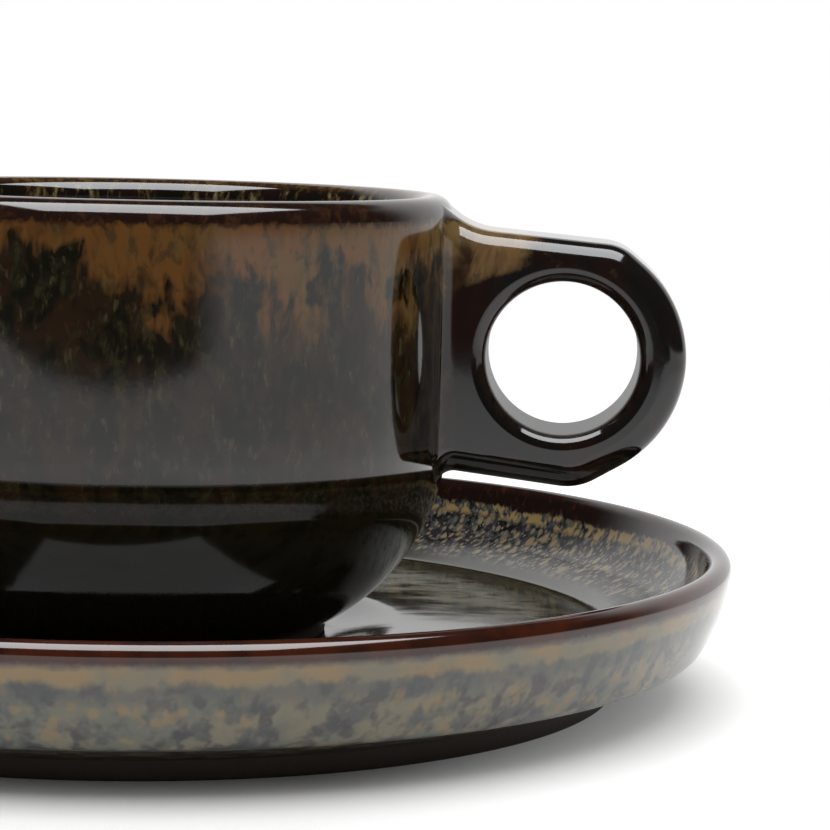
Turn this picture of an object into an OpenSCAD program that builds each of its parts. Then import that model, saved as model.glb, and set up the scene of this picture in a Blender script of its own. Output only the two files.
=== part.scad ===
// Espresso cup with a ring handle, standing on its saucer, in thick glazed stoneware.
// Lengths are in millimetres and angles in degrees. +Z is up and +X runs along the handle.
// The origin lies on the table, on the axis that the cup and the saucer share.
// The cup's own heights are measured from its foot, and the saucer's from the table.

/* [Cup] */
// Outside diameter of the wall
cup_d = 67.2; // [64:0.2:71]
// Height from foot to rim
cup_h = 47.3; // [46:0.1:54]
// Thickness of the wall, and of the rim that rounds it off
cup_wall = 4.2; // [3.2:0.1:4.8]
// Radius of the curve that turns the wall under into the bowl
bowl_r = 23; // [21:0.25:26]
// Thickness of the floor above the hollow of the foot
cup_floor = 4.2; // [3.2:0.1:6]
// Radius that rounds the floor up into the bowl, inside
floor_curve_r = 10; // [6:0.5:12]
// Outside diameter of the foot ring
cup_foot_d = 41.6; // [36:0.2:43]
// Height of the foot ring, up to where the bowl starts
cup_foot_h = 1.3; // [1:0.1:3]
// Width of the foot ring
cup_foot_w = 3.2; // [2.4:0.1:5]
// Depth of the hollow inside the foot ring
cup_hollow = 1.3; // [0.8:0.1:1.8]

/* [Handle] */
// Width of the handle, from one side face to the other
handle_w = 14; // [11:0.5:16]
// Diameter of the finger hole
hole_d = 16.1; // [14:0.1:18]
// Least thickness between the cup's wall and the finger hole
neck = 4; // [3.6:0.1:6]
// Thickness of the ring on the side away from the cup
ring_w = 4.9; // [4:0.1:5.8]
// Thickness between the finger hole and the handle's top
top_w = 4.35; // [3.6:0.05:5]
// Thickness between the finger hole and the handle's underside
under_w = 5.45; // [4.6:0.05:6.3]
// Depth below the rim at which the line of the handle's top meets the wall
top_drop = 3; // [2.6:0.1:4]
// Rounding of the handle's outer edges, as a share of the ring's least thickness
edge_share = 0.55; // [0.4:0.01:0.6]
// Rounding of the finger hole's edges, as a share of the same thickness
hole_edge_share = 0.32; // [0.2:0.01:0.38]
// Rounding of the shoulder, where the top turns down into the ring
shoulder_r = 5; // [3.5:0.5:7]
// Rounding of the heel, where the ring turns into the underside
heel_r = 6; // [4:0.5:8]
// Concave sweep of the handle's top up to the rim
top_sweep_r = 8; // [6:0.5:10]
// Concave fillet of the side faces into the wall
side_fillet_r = 2.2; // [1:0.1:2.4]
// Concave fillet of the underside into the bowl
under_fillet_r = 1.8; // [1:0.1:2.2]

/* [Saucer] */
// Outside diameter of the saucer
saucer_d = 128.6; // [116:0.2:150]
// Height from the table to the rim
saucer_h = 15.1; // [14.4:0.1:17]
// Height of the flat floor above the table
saucer_floor_z = 6.2; // [5.8:0.1:6.6]
// Depth of the cup's seat below that floor
seat_drop = 1.1; // [0.6:0.1:1.4]
// Flat room in the seat around the cup's foot
seat_gap = 1.2; // [0.8:0.1:2]
// Width of the slope from the seat up to the floor
seat_slope_w = 6; // [3:0.5:8]
// Distance from the saucer's edge in to its flat floor
saucer_side_w = 14.3; // [13.9:0.1:18]
// Thickness of the rounded rim
saucer_rim_w = 2.6; // [2:0.1:2.8]
// Radius of the curve from the flat floor into the sloping part of the dish
dish_curve_r = 6; // [4:0.5:8]
// Radius of the curve from the sloping part up into the side
side_curve_r = 7; // [5.5:0.1:7.2]
// Straight run of the side between that curve and the rim's rounding
side_run = 1; // [0.5:0.1:1.5]
// Radius of the side's bulge, outside
bulge_r = 20; // [17:0.5:26]
// Height of the centre of that bulge
bulge_z = 16; // [15.4:0.1:17]
// Rounding where the side turns under
knee_r = 3; // [1.5:0.1:4]
// Distance from the saucer's edge in to its foot ring
saucer_overhang = 12.1; // [11.2:0.1:16]
// Width of the foot ring
saucer_foot_w = 4; // [3:0.1:6]
// Height of the foot ring's unglazed outer face
saucer_foot_h = 2; // [1.6:0.1:2.4]
// Depth of the hollow inside the foot ring
saucer_hollow = 1.6; // [1:0.1:2]

/* [Hidden] */

// Bevel along the edges of both foot rings
foot_bevel = 0.4;
// Overrun of a cut past the surface that it opens
cut_over = 2;

// Slopes against the level of the handle's top, shoulder, heel and underside
top_slope = 4.8;
shoulder_slope = 40;
heel_slope = 30;
under_slope = 6.7;
// Slope of the sloping part of the dish
dish_slope = 20;
// Slope of the saucer's underside, from the foot out to the side
underside_slope = 18.4;

// Facets of a full turn, degrees between two points of the handle's arcs, and steps along its
// straight lines, root, rounded edges, side faces and wall fillet
$fn = 180;
arc_step = 6;
line_steps = 5;
root_steps = 16;
edge_steps = 5;
face_steps = 4;
fillet_steps = 6;

cup_r = cup_d / 2;
rim_r = cup_wall / 2;
rim_c = [cup_r - rim_r, cup_h - rim_r];
foot_r = cup_foot_d / 2;
seat_z = saucer_floor_z - seat_drop;
bowl_c = [cup_r - bowl_r, cup_foot_h + sqrt(pow(bowl_r, 2) - pow(foot_r - cup_r + bowl_r, 2))];

function polar(r, a) = [r * cos(a), r * sin(a)];
function unit(v) = v / norm(v);
function left_of(v) = [-v.y, v.x];
function bearing(v) = atan2(v.y, v.x);

// Points of an arc, with both ends
function arc(c, r, from, to) =
    let (steps = ceil(abs(to - from) / arc_step))
    [for (i = [0:steps]) c + polar(r, from + (to - from) * i / steps)];

// Points along a straight line, without its ends
function between(p, q, steps) = [for (i = [1:steps - 1]) p + (q - p) * i / steps];

// Where two lines meet, each given by a point and a direction
function meet(p, u, q, v) = p + u * cross(q - p, v) / cross(u, v);

// Centre of a circle that touches a line and a second circle: offset leads from the line to the
// centre, and reach is the distance from the second circle's centre, c
function touching(p, dir, offset, c, reach) =
    let (d = p + offset - c, along = d * dir)
    c + d + dir * (sqrt(pow(along, 2) - d * d + pow(reach, 2)) - along);

// Rounded corner at v of a path that turns clockwise there, from direction u to direction w
function corner(v, u, w, r) =
    let (half = (bearing(u) - bearing(w) + 360) % 360 / 2,
         c = v - (u * tan(half) + left_of(u)) * r,
         start = bearing(left_of(u)))
    arc(c, r, start, start - 2 * half);

// Half section of the cup's outside, filled, which also cuts the handle's root to the wall
module cup_outline() {
    square([foot_r, bowl_c.y + cut_over]);
    intersection() {
        translate(bowl_c) circle(bowl_r);
        square([cup_r, bowl_c.y + cut_over]);
    }
    translate([0, bowl_c.y]) square([cup_r, rim_c.y - bowl_c.y]);
    translate([0, bowl_c.y]) square([rim_c.x, cup_h - bowl_c.y]);
    translate(rim_c) circle(rim_r);
}

// Half section of the space inside the cup: wall, bowl, curve into the floor, and floor
module cup_cavity() {
    inner_r = cup_r - cup_wall;
    inner_bowl_r = bowl_r - cup_wall;
    floor_z = cup_hollow + cup_floor;
    curve_c = touching([0, floor_z], [1, 0], [0, floor_curve_r], bowl_c,
                       inner_bowl_r - floor_curve_r);
    curve_end = bowl_c + unit(curve_c - bowl_c) * inner_bowl_r;
    translate([0, bowl_c.y]) square([inner_r, cup_h - bowl_c.y + cut_over]);
    difference() {
        translate([0, rim_c.y]) square([rim_c.x, rim_r + cut_over]);
        translate(rim_c) circle(rim_r);
    }
    intersection() {
        translate(bowl_c) circle(inner_bowl_r);
        translate([0, curve_end.y]) square([inner_r, bowl_c.y - curve_end.y + cut_over]);
    }
    translate(curve_c) circle(floor_curve_r);
    translate([0, floor_z]) square([curve_c.x, bowl_c.y - floor_z + cut_over]);
}

// Half section of what a foot ring leaves open: the hollow within it and its bevelled edges
module foot_relief(r, w, hollow) {
    inner = r - w;
    polygon([[0, -cut_over], [inner + foot_bevel, -cut_over], [inner + foot_bevel, 0],
             [inner, foot_bevel], [inner, hollow], [0, hollow]]);
    polygon([[r - foot_bevel, -cut_over], [r + cut_over, -cut_over], [r + cut_over, foot_bevel],
             [r, foot_bevel], [r - foot_bevel, 0]]);
}

module cup_body() {
    color([0.17, 0.14, 0.09])
    translate([0, 0, seat_z])
    rotate_extrude()
    difference() {
        cup_outline();
        cup_cavity();
        foot_relief(foot_r, cup_foot_w, cup_hollow);
    }
}

// The handle's outline is a path in its upright plane, [x, z], that runs clockwise from the root
// over the top and round the ring, and back to the root along the underside.
half_w = handle_w / 2;
hole_r = hole_d / 2;
ring_r = hole_r + ring_w;
edge_r = edge_share * min(ring_w, top_w);
hole_edge_r = hole_edge_share * min(ring_w, top_w);

top_dir = polar(1, -top_slope);
top_p = [cup_r, cup_h - top_drop];
ring_out = neck + hole_r;
ring_c = [cup_r + ring_out,
          top_p.y - ring_out * tan(top_slope) - (hole_r + top_w) / cos(top_slope)];
shoulder_dir = polar(1, -shoulder_slope);
shoulder_p = ring_c + left_of(shoulder_dir) * ring_r;
heel_dir = polar(1, 180 + heel_slope);
heel_p = ring_c + left_of(heel_dir) * ring_r;
under_dir = polar(1, 180 - under_slope);
under_p = [cup_r, ring_c.y + ring_out * tan(under_slope) - (hole_r + under_w) / cos(under_slope)];

// Centres of the three concave blends: top to rim and underside to bowl in the upright plane,
// and side face to wall in plan
sweep_c = touching(top_p, top_dir, left_of(top_dir) * top_sweep_r, rim_c, rim_r + top_sweep_r);
under_c = touching(under_p, -under_dir, left_of(under_dir) * under_fillet_r, bowl_c,
                   bowl_r + under_fillet_r);
side_c = touching([0, half_w], [1, 0], [0, side_fillet_r], [0, 0], cup_r + side_fillet_r);

// The blends end on the wall at these distances from the axis, and the root starts at root_x
sweep_end = (rim_c + unit(sweep_c - rim_c) * rim_r).x;
under_end = (bowl_c + unit(under_c - bowl_c) * bowl_r).x;
side_end = side_c.x * cup_r / norm(side_c);
root_x = max(side_c.x, under_c.x);

// Height of the outline's top and underside, and half width of the handle, within the root
function top_at(x) =
    sweep_c.y - sqrt(pow(top_sweep_r, 2) - pow(sweep_c.x - max(x, sweep_end), 2));
function under_at(x) = x < under_c.x
    ? under_c.y + sqrt(pow(under_fillet_r, 2) - pow(under_c.x - max(x, under_end), 2))
    : under_p.y - (x - cup_r) * tan(under_slope);
function half_width_at(x) = x < side_c.x
    ? side_c.y - sqrt(pow(side_fillet_r, 2) - pow(side_c.x - max(x, side_end), 2))
    : half_w;

top_start = sweep_c - left_of(top_dir) * top_sweep_r;
shoulder = corner(meet(top_p, top_dir, shoulder_p, shoulder_dir), top_dir, shoulder_dir,
                  shoulder_r);
heel = corner(meet(heel_p, heel_dir, under_p, under_dir), heel_dir, under_dir, heel_r);
outline = concat(
    arc(sweep_c, top_sweep_r, bearing([root_x, top_at(root_x)] - sweep_c),
        bearing(-left_of(top_dir))),
    between(top_start, shoulder[0], line_steps),
    shoulder,
    arc(ring_c, ring_r, bearing(left_of(shoulder_dir)), bearing(left_of(heel_dir))),
    heel,
    between(heel[len(heel) - 1], [root_x, under_at(root_x)], line_steps),
    [[root_x, under_at(root_x)]]);
last = len(outline) - 1;

function outward(i) = left_of(unit(outline[min(i + 1, last)] - outline[max(i - 1, 0)]));

// Outer corners of the side faces: inside the outline by the edges' rounding, then up the root
face_corners = [for (i = [0:last]) outline[i] - outward(i) * edge_r];
corners = concat(face_corners, between(face_corners[last], face_corners[0], root_steps));

// One side of the section towards a corner: the hole's rounded edge and the flat side face
function face_side(b) =
    let (dir = unit(b - ring_c), a = ring_c + dir * (hole_r + hole_edge_r))
    concat(
        [for (i = [0:edge_steps])
            let (t = 90 * i / edge_steps,
                 p = ring_c + dir * (hole_r + hole_edge_r * (1 - cos(t))))
            [p.x, half_w - hole_edge_r * (1 - sin(t)), p.y]],
        [for (p = concat(between(a, b, face_steps), [b])) [p.x, half_w, p.y]]);

// The same side of the section, from the corner round the outer edge to the outline
function edge_side(i) =
    [for (k = [1:edge_steps])
        let (t = 90 * k / edge_steps, p = outline[i] - outward(i) * edge_r * (1 - sin(t)))
        [p.x, half_w - edge_r * (1 - cos(t)), p.y]];

function other_side(points) = [for (i = [len(points) - 1:-1:0])
    [points[i].x, -points[i].y, points[i].z]];

// Closing loop of the root at a distance x from the axis, moved from the loop where it starts
function root_loop(loop, x) =
    let (low = under_at(root_x), high = top_at(root_x),
         widen = half_width_at(x) / half_w,
         stretch = (top_at(x) - under_at(x)) / (high - low))
    [for (p = loop) [p.x + x - root_x, p.y * widen, under_at(x) + (p.z - low) * stretch]];

function quad(a, b, c, d) = [[a, b, c], [a, c, d]];

// Handle as one closed surface: a section carried round the finger hole, with the root drawn out
// into the wall along the concave blends, and cut there to the cup's outside
module cup_handle() {
    rows = [for (b = corners) let (side = face_side(b)) concat(other_side(side), side)];
    edges = [for (i = [0:last]) let (side = edge_side(i)) concat(side, other_side(side))];
    row = len(rows[0]);
    edge = len(edges[0]);
    first_edge = len(rows) * row;
    first_loop = first_edge + len(edges) * edge;
    root_end = min(side_end, under_end) - cut_over;

    // Index of point k in row i, and of point k round the outer edge from front to back
    function in_row(i, k) = (i % len(rows)) * row + k;
    function on_edge(i, k) = k == 0 ? in_row(i, row - 1)
        : k > edge ? in_row(i, 0)
        : first_edge + i * edge + k - 1;

    start = concat(
        [for (k = [0:edge + 1]) on_edge(0, k)],
        [for (i = [len(rows) - 1:-1:last + 1]) in_row(i, 0)],
        [for (k = [edge + 1:-1:0]) on_edge(last, k)],
        [for (i = [last + 1:len(rows) - 1]) in_row(i, row - 1)]);
    count = len(start);
    shell = concat([for (r = rows) each r], [for (e = edges) each e]);
    start_loop = [for (i = start) shell[i]];
    loop_xs = concat(
        [for (k = [1:fillet_steps]) root_x - (root_x - side_end) * sin(90 * k / fillet_steps)],
        [root_end]);
    loops = [for (x = loop_xs) root_loop(start_loop, x)];
    function in_loop(k, j) = k == 0 ? start[j % count] : first_loop + (k - 1) * count + j % count;
    middle = [root_end, 0, (top_at(root_end) + under_at(root_end)) / 2];
    points = concat(shell, [for (l = loops) each l], [middle]);

    faces = concat(
        [for (i = [0:len(rows) - 1], k = [0:row - 2])
            each quad(in_row(i, k), in_row(i, k + 1), in_row(i + 1, k + 1), in_row(i + 1, k))],
        [for (i = [0:last - 1], k = [0:edge])
            each quad(on_edge(i, k), on_edge(i, k + 1), on_edge(i + 1, k + 1), on_edge(i + 1, k))],
        [for (k = [0:len(loops) - 1], j = [0:count - 1])
            each quad(in_loop(k, j + 1), in_loop(k, j), in_loop(k + 1, j), in_loop(k + 1, j + 1))],
        [for (j = [0:count - 1])
            [len(points) - 1, in_loop(len(loops), j + 1), in_loop(len(loops), j)]]);

    color([0.10, 0.08, 0.07])
    translate([0, 0, seat_z])
    difference() {
        polyhedron(points, faces);
        rotate_extrude() cup_outline();
    }
}

// Half section of the saucer's outside, filled: foot, underside, knee, bulging side and rim
module saucer_outline(r, rim_c, rim_r) {
    bulge_c = [rim_c.x - sqrt(pow(bulge_r - rim_r, 2) - pow(bulge_z - rim_c.y, 2)), bulge_z];
    foot_top = [r - saucer_overhang, saucer_foot_h];
    under = polar(1, underside_slope);
    knee_c = touching(foot_top, under, left_of(under) * knee_r, bulge_c, bulge_r - knee_r);
    knee_start = knee_c - left_of(under) * knee_r;
    knee_end = bulge_c + unit(knee_c - bulge_c) * bulge_r;
    rim_end = bulge_c + unit(rim_c - bulge_c) * bulge_r;
    polygon([[0, 0], [foot_top.x, 0], foot_top, knee_start, knee_end,
             [knee_end.x, rim_c.y], [0, rim_c.y]]);
    translate(knee_c) circle(knee_r);
    intersection() {
        translate(bulge_c) circle(bulge_r);
        translate([0, knee_end.y]) square([r, rim_end.y - knee_end.y]);
    }
    translate([0, rim_c.y - rim_r]) square([rim_c.x, 2 * rim_r]);
    translate(rim_c) circle(rim_r);
}

// Half section of the dish: seat, floor, curve, sloping part, curve into the side, and side
module saucer_dish(rim_c, rim_r) {
    flat_end = [saucer_d / 2 - saucer_side_w, saucer_floor_z];
    dish_c = flat_end + [0, dish_curve_r];
    slope = polar(1, dish_slope);
    dish_end = dish_c - left_of(slope) * dish_curve_r;
    side_c = touching(dish_end, -slope, left_of(slope) * side_curve_r, rim_c,
                      norm([side_curve_r + rim_r, side_run]));
    side_start = side_c - left_of(slope) * side_curve_r;
    across = polar(1, bearing(rim_c - side_c) - atan2(side_run, side_curve_r + rim_r));
    side_top = side_c + across * side_curve_r;
    rim_start = rim_c - across * rim_r;
    seat_r = foot_r + seat_gap;
    clear_z = saucer_h + cut_over;
    polygon([[0, seat_z], [seat_r, seat_z], [seat_r + seat_slope_w, saucer_floor_z],
             [seat_r, clear_z], [0, clear_z]]);
    difference() {
        polygon([[0, saucer_floor_z], flat_end, dish_end, side_start, side_top, rim_start, rim_c,
                 [rim_c.x, clear_z], [0, clear_z]]);
        translate(rim_c) circle(rim_r);
    }
    translate(side_c) circle(side_curve_r);
    translate(dish_c) circle(dish_curve_r);
}

module saucer() {
    r = saucer_d / 2;
    rim_r = saucer_rim_w / 2;
    rim_c = [r - rim_r, saucer_h - rim_r];
    color([0.34, 0.31, 0.25])
    rotate_extrude()
    difference() {
        saucer_outline(r, rim_c, rim_r);
        saucer_dish(rim_c, rim_r);
        foot_relief(r - saucer_overhang, saucer_foot_w, saucer_hollow);
    }
}

cup_body();
cup_handle();
saucer();
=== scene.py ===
"""Espresso cup with a ring handle on its saucer, in glossy reactive glaze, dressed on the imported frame.

Sizes are in millimetres, as in the part's source, and become metres where a mesh is made. +Z is up,
+X runs along the handle, and the origin is on the table under the axis that both pieces share.
"""

import logging
import math
from collections import Counter
from collections.abc import Callable
from dataclasses import dataclass, field
from enum import Enum

import bpy
from mathutils import Matrix, Vector


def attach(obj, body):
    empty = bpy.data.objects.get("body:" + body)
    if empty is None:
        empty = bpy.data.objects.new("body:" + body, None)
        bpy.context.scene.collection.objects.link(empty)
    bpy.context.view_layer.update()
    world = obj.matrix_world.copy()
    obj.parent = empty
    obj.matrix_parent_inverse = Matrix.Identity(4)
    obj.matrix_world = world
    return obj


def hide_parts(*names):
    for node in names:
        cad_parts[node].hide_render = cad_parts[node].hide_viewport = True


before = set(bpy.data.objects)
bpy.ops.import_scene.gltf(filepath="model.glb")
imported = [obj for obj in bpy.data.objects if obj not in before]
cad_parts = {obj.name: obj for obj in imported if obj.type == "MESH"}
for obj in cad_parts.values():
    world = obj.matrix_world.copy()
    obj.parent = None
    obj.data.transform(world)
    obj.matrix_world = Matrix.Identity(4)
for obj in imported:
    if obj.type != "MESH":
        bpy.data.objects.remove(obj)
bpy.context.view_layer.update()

log = logging.getLogger("cup_and_saucer")

MM = 0.001
PER_MM = 1 / MM
SPIN_STEPS = 240
WELD = 0.001 * MM
SLACK = 0.01
SOFT_EDGE = 0.4
SMOOTH_ANGLE = math.radians(50)
QUARTER_TURN = math.radians(90)

CUP_RIM_Z = 52.4
SAUCER_RIM_Z = 15.1
HOLE_R = 8.05

Colour = tuple[float, float, float]
WHITE: Colour = (1.0, 1.0, 1.0)


class Body(Enum):
    """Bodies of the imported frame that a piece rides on."""

    CUP = "cup"
    SAUCER = "saucer"


class Slot(Enum):
    """Names of the record's material slots; no piece in this script takes its finish from them."""

    CUP = "cup_glaze"
    HANDLE = "handle_glaze"
    SAUCER = "saucer_glaze"


# ---- Plane geometry ----


def polar(radius: float, degrees: float) -> Vector:
    """Return the plane vector of a length at an angle above +X."""
    angle = math.radians(degrees)
    return Vector((radius * math.cos(angle), radius * math.sin(angle)))


def left_of(direction: Vector) -> Vector:
    """Return a plane direction turned a quarter turn to the left."""
    return Vector((-direction.y, direction.x))


def bearing(direction: Vector) -> float:
    """Return the angle of a plane direction above +X, in degrees."""
    return math.degrees(math.atan2(direction.y, direction.x))


def meet(start: Vector, along: Vector, other: Vector, other_along: Vector) -> Vector:
    """Return the point where two lines meet, each given by a point and a direction."""
    return start + along * (other - start).cross(other_along) / along.cross(other_along)


def touching(start: Vector, along: Vector, offset: Vector, centre: Vector, reach: float) -> Vector:
    """Find the centre of a circle that touches a line and a second circle.

    Args:
        start: A point of the line.
        along: Unit direction of the line.
        offset: Step from the line to the centre, which is as long as the circle's radius.
        centre: Centre of the second circle.
        reach: Distance between the two centres.

    Returns:
        The centre on the side of the second circle that the direction points to.
    """
    lead = start + offset - centre
    shift = lead.dot(along)
    return centre + lead + along * (math.sqrt(shift**2 - lead.dot(lead) + reach**2) - shift)


@dataclass
class Path2D:
    """Points of a half section or an outline, in millimetres."""

    points: list[Vector] = field(default_factory=list)

    def line(self, x: float, y: float, steps: int = 1) -> "Path2D":
        """Add a straight run to a point.

        Args:
            x: First coordinate of its end.
            y: Second coordinate of its end.
            steps: Number of equal steps that it is made in.

        Returns:
            The path, for the next run.
        """
        end = Vector((x, y))
        start = self.points[-1] if self.points else end
        first = 1 if self.points else steps
        self.points += [start.lerp(end, i / steps) for i in range(first, steps + 1)]
        return self

    def arc(self, centre: Vector, radius: float, start: float, end: float, step: float = 5) -> "Path2D":
        """Add an arc.

        Args:
            centre: Centre of the arc.
            radius: Radius of the arc.
            start: Bearing of its first point from the centre, in degrees.
            end: Bearing of its last point.
            step: Most degrees between two points.

        Returns:
            The path, for the next run.
        """
        count = math.ceil(abs(end - start) / step)
        for i in range(count + 1):
            point = centre + polar(radius, start + (end - start) * i / count)
            if not self.points or (point - self.points[-1]).length > SLACK:
                self.points.append(point)
        return self

    def ease(self, x: float, y: float, steps: int) -> "Path2D":
        """Add an S-shaped run to a point, level at both of its ends.

        Args:
            x: First coordinate of its end.
            y: Second coordinate of its end.
            steps: Number of steps that it is made in.

        Returns:
            The path, for the next run.
        """
        start = self.points[-1]
        for i in range(1, steps + 1):
            share = i / steps
            self.points.append(Vector((start.x + (x - start.x) * share,
                                       start.y + (y - start.y) * share**2 * (3 - 2 * share))))
        return self

    def foot(self, base_z: float, hollow_z: float, top_z: float, outer: float, width: float, steps: int) -> "Path2D":
        """Add the hollow under a piece and its foot ring, whose edges are rounded.

        Args:
            base_z: Height of the face that the foot stands on.
            hollow_z: Height of the hollow inside the foot.
            top_z: Height at which the piece goes on above the foot.
            outer: Outside radius of the foot.
            width: Width of the foot.
            steps: Number of steps that the hollow is made in.

        Returns:
            The path, for the next run.
        """
        inner, edge = outer - width, SOFT_EDGE
        self.line(0, hollow_z).line(inner - 2 * edge, hollow_z, steps)
        self.line(inner, hollow_z - edge).line(inner, base_z + edge)
        for x, start in ((inner + edge, 180), (outer - edge, 270)):
            self.arc(Vector((x, base_z + edge)), edge, start, start + 90, step=22.5)
        return self.line(outer, top_z, steps=2)

    def corner(self, at: Vector, before: Vector, after: Vector, radius: float) -> "Path2D":
        """Add the rounded corner of a path that turns clockwise.

        Args:
            at: Point where the two straight runs meet.
            before: Unit direction of the run that ends there.
            after: Unit direction of the run that starts there.
            radius: Radius of the rounding.

        Returns:
            The path, for the next run.
        """
        half = (bearing(before) - bearing(after)) % 360 / 2
        centre = at - (before * math.tan(math.radians(half)) + left_of(before)) * radius
        start = bearing(left_of(before))
        return self.arc(centre, radius, start, start - 2 * half)


# ---- Meshes, made with Blender's own tools ----


def place(point: Vector, y: float | None = None) -> Vector:
    """Put a plane point, of radius or x and height, into space at a distance along Y, in metres."""
    return Vector((point.x, y or 0, point.y)) * MM


def select_none() -> None:
    """Deselect every object."""
    bpy.ops.object.select_all(action="DESELECT")


def select_mesh() -> None:
    """Select all of the mesh that is in edit mode."""
    bpy.ops.mesh.select_all(action="SELECT")


def switch_to(mode: str) -> None:
    """Go to "EDIT" or "OBJECT" mode."""
    bpy.ops.object.mode_set(mode=mode)


def quarter_turns(steps: int) -> list[float]:
    """Return the angles of a quarter turn in equal steps, in radians."""
    return [QUARTER_TURN * i / steps for i in range(steps + 1)]


def activate(obj: bpy.types.Object) -> None:
    """Make an object the only one that is selected, and the active one.

    Args:
        obj: The object.
    """
    select_none()
    obj.select_set(True)
    bpy.context.view_layer.objects.active = obj


def select_parts(obj: bpy.types.Object, mode: str, wanted: Callable[[bpy.types.Object, int], bool]) -> int:
    """Select the vertices, edges or faces of an object in edit mode that pass a test.

    Args:
        obj: The object, in edit mode.
        mode: "VERT", "EDGE" or "FACE".
        wanted: Test of the mesh and the index of an element.

    Returns:
        The number of elements that were selected.
    """
    bpy.ops.mesh.select_mode(type=mode)
    bpy.ops.mesh.select_all(action="DESELECT")
    switch_to("OBJECT")
    elements = {"VERT": obj.data.vertices, "EDGE": obj.data.edges, "FACE": obj.data.polygons}[mode]
    found = [element for element in elements if wanted(obj.data, element.index)]
    for element in found:
        element.select = True
    switch_to("EDIT")
    return len(found)


def trace(name: str, points: list[Vector]) -> bpy.types.Object:
    """Draw a chain of edges by extruding one vertex from point to point.

    Args:
        name: Name of the new object.
        points: Points of the chain in space, in metres.

    Returns:
        The object, in edit mode, with all of it selected.
    """
    select_none()
    bpy.ops.mesh.primitive_plane_add(size=MM)
    obj = bpy.context.object
    obj.name = obj.data.name = name
    switch_to("EDIT")
    bpy.ops.mesh.select_mode(type="VERT")
    select_mesh()
    bpy.ops.mesh.merge(type="CENTER")
    bpy.ops.transform.translate(value=points[0])
    for before, after in zip(points, points[1:]):
        bpy.ops.mesh.extrude_region_move(TRANSFORM_OT_translate={"value": after - before})
    select_mesh()
    return obj


def finish_mesh(obj: bpy.types.Object) -> None:
    """Weld an object's doubles, point its faces outwards, and shade it smooth.

    Args:
        obj: The object, in edit mode. It is left in object mode.
    """
    select_mesh()
    bpy.ops.mesh.remove_doubles(threshold=WELD)
    bpy.ops.mesh.normals_make_consistent(inside=False)
    switch_to("OBJECT")
    activate(obj)
    bpy.ops.object.shade_smooth_by_angle(angle=SMOOTH_ANGLE)


def throw(name: str, section: Path2D) -> bpy.types.Object:
    """Turn a half section into a closed round piece, as on a potter's wheel.

    Args:
        name: Name of the new object.
        section: The half section, which starts and ends on the axis.

    Returns:
        The finished object.
    """
    obj = trace(name, [place(point) for point in section.points])
    bpy.ops.mesh.spin(steps=SPIN_STEPS, angle=math.tau, center=(0, 0, 0), axis=(0, 0, 1))
    finish_mesh(obj)
    return obj


def dress(obj: bpy.types.Object, finishes: list[bpy.types.Material], choose: Callable[[Vector, Vector], int]) -> None:
    """Give an object its finishes.

    Args:
        obj: The object.
        finishes: Its materials.
        choose: Picks a finish for a face, from the face's centre in millimetres and its normal.
    """
    obj.data.materials.clear()
    for finish in finishes:
        obj.data.materials.append(finish)
    for polygon in obj.data.polygons:
        polygon.material_index = choose(polygon.center * PER_MM, polygon.normal)


# ---- Shader maths ----


Operand = "Shade | float"
RAY_KINDS = ("Camera", "Glossy", "Transmission")
MIX_FACTOR, MIX_FIRST, MIX_SECOND, MIX_RESULT = 0, 6, 7, 2


class Shade:
    """A socket's value, on which Python's operators add Math nodes."""

    def __init__(self, bench: "NodeBench", socket: bpy.types.NodeSocket) -> None:
        """Wrap an output socket of a bench's node tree."""
        self.bench = bench
        self.socket = socket

    def maths(self, operation: str, first: Operand, second: Operand = 0.0) -> "Shade":
        """Add one Math node and return its result."""
        return self.bench.shade("ShaderNodeMath", {"operation": operation}, {0: first, 1: second})

    def __add__(self, other: Operand) -> "Shade":
        """Return the sum."""
        return self.maths("ADD", self, other)

    __radd__ = __add__

    def __sub__(self, other: Operand) -> "Shade":
        """Return the difference."""
        return self.maths("SUBTRACT", self, other)

    def __rsub__(self, other: Operand) -> "Shade":
        """Return the difference from a plain number."""
        return self.maths("SUBTRACT", other, self)

    def __mul__(self, other: Operand) -> "Shade":
        """Return the product."""
        return self.maths("MULTIPLY", self, other)

    __rmul__ = __mul__

    def __rtruediv__(self, other: Operand) -> "Shade":
        """Return the quotient of a plain number."""
        return self.maths("DIVIDE", other, self)

    def at_least(self, other: Operand) -> "Shade":
        """Return the larger of two values."""
        return self.maths("MAXIMUM", self, other)

    def root(self) -> "Shade":
        """Return the square root."""
        return self.maths("SQRT", self)

    def rise(self, low: Operand, high: Operand) -> "Shade":
        """Ease from 0 at one value to 1 at another."""
        settings = {"interpolation_type": "SMOOTHSTEP"}
        return self.bench.shade("ShaderNodeMapRange", settings, {"Value": self, 1: low, 2: high})

    def fall(self, low: Operand, high: Operand) -> "Shade":
        """Ease from 1 at one value to 0 at another."""
        return 1 - self.rise(low, high)

    def band(self, start: float, full: float, fade: float, end: float) -> "Shade":
        """Ease from 0 to 1 over the first two values, and back to 0 over the last two."""
        return self.rise(start, full) * self.fall(fade, end)

    def swing(self, width: float) -> "Shade":
        """Return noise, which lies around a half, as a swing around zero."""
        return (self - 0.5) * width


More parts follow.
